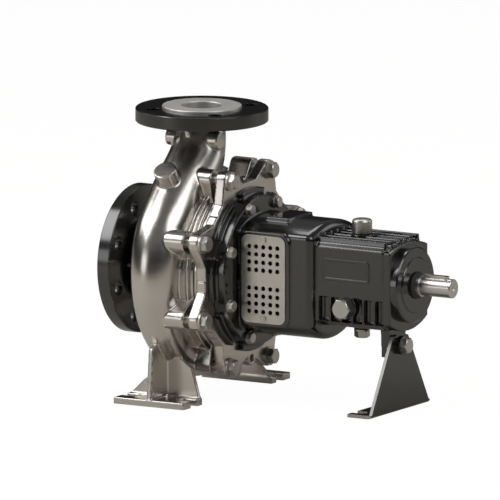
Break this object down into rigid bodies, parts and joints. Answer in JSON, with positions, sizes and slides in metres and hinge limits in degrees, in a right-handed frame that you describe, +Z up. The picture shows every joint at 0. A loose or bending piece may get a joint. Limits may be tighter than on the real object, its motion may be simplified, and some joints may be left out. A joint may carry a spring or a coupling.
{
  "type": "centrifugal pump",
  "caption": "Single-stage end-suction centrifugal pump with a spiral stainless casing, loose flanges, perforated guards, a finned bearing bracket and a bare keyed shaft end.",
  "frame": {"origin": "centre of the sealing face of the suction stub ring, on the shaft axis", "axes": "+X along the shaft towards the drive end, +Z up towards the discharge flange, +Y across the pump; the oil level plug is on the -Y side"},
  "size_m": [0.46, 0.2784, 0.36],
  "materials": {
    "stainless_cast": "polished casting",
    "stainless_machined": "machined",
    "stainless_sheet": "satin sheet",
    "black_paint": "gloss paint on cast iron",
    "black_paint_steel": "gloss paint on sheet steel",
    "zinc_steel": "zinc plated",
    "bearing_steel": "ground",
    "seal_rubber": "matt",
    "seal_ceramic": "lapped ceramic"
  },
  "bodies": {
    "pump": {"casing": "stainless_cast", "suction_stub_ring": "stainless_machined", "discharge_stub_ring": "stainless_machined", "wear_ring": "stainless_machined", "casing_gasket": "seal_rubber", "casing_cover": "stainless_cast", "casing_bolts": "zinc_steel", "casing_bolt_washers": "zinc_steel", "bearing_bracket": "black_paint", "bracket_bolts": "zinc_steel", "bracket_bolt_washers": "zinc_steel", "guard_plate_left": "stainless_sheet", "guard_plate_right": "stainless_sheet", "guard_screws": "zinc_steel", "seal_seat": "seal_ceramic", "front_bearing_outer": "bearing_steel", "rear_bearing_outer": "bearing_steel", "front_lip_seal": "seal_rubber", "rear_lip_seal": "seal_rubber", "bearing_cover": "black_paint", "bearing_cover_screws": "black_paint_steel", "oil_filler_cap": "zinc_steel", "oil_drain_plug": "zinc_steel", "oil_level_plug": "zinc_steel", "sealing_washers": "seal_rubber", "support_foot": "black_paint_steel", "support_bolt": "zinc_steel", "support_bolt_washer": "black_paint_steel"},
    "rotor": {"shaft": "stainless_machined", "impeller": "stainless_cast", "impeller_washer": "stainless_machined", "impeller_nut": "stainless_machined", "impeller_key": "stainless_machined", "seal_head": "stainless_machined", "seal_spring": "stainless_machined", "front_bearing_inner": "bearing_steel", "rear_bearing_inner": "bearing_steel", "deflector_ring": "seal_rubber", "drive_key": "stainless_machined"},
    "front_balls": {"front_bearing_balls": "bearing_steel"},
    "rear_balls": {"rear_bearing_balls": "bearing_steel"},
    "suction_ring": {"suction_flange": "black_paint"},
    "discharge_ring": {"discharge_flange": "black_paint"}
  },
  "joints": [
    {"name": "shaft_spin", "type": "hinge", "parent": "pump", "child": "rotor", "pos_m": [0, 0, 0], "axis": [1, 0, 0], "continuous": true},
    {"name": "front_ball_orbit", "type": "hinge", "parent": "pump", "child": "front_balls", "pos_m": [0.2995, 0, 0], "axis": [1, 0, 0], "continuous": true},
    {"name": "rear_ball_orbit", "type": "hinge", "parent": "pump", "child": "rear_balls", "pos_m": [0.3835, 0, 0], "axis": [1, 0, 0], "continuous": true},
    {"name": "suction_flange_swivel", "type": "hinge", "parent": "pump", "child": "suction_ring", "pos_m": [0.0115, 0, 0], "axis": [1, 0, 0], "continuous": true},
    {"name": "discharge_flange_swivel", "type": "hinge", "parent": "pump", "child": "discharge_ring", "pos_m": [0.1, 0, 0.1885], "axis": [0, 0, 1], "continuous": true}
  ],
  "couplings": [
    {"joint": "front_ball_orbit", "follows": "shaft_spin", "ratio": 0.3824},
    {"joint": "rear_ball_orbit", "follows": "shaft_spin", "ratio": 0.3824}
  ]
}
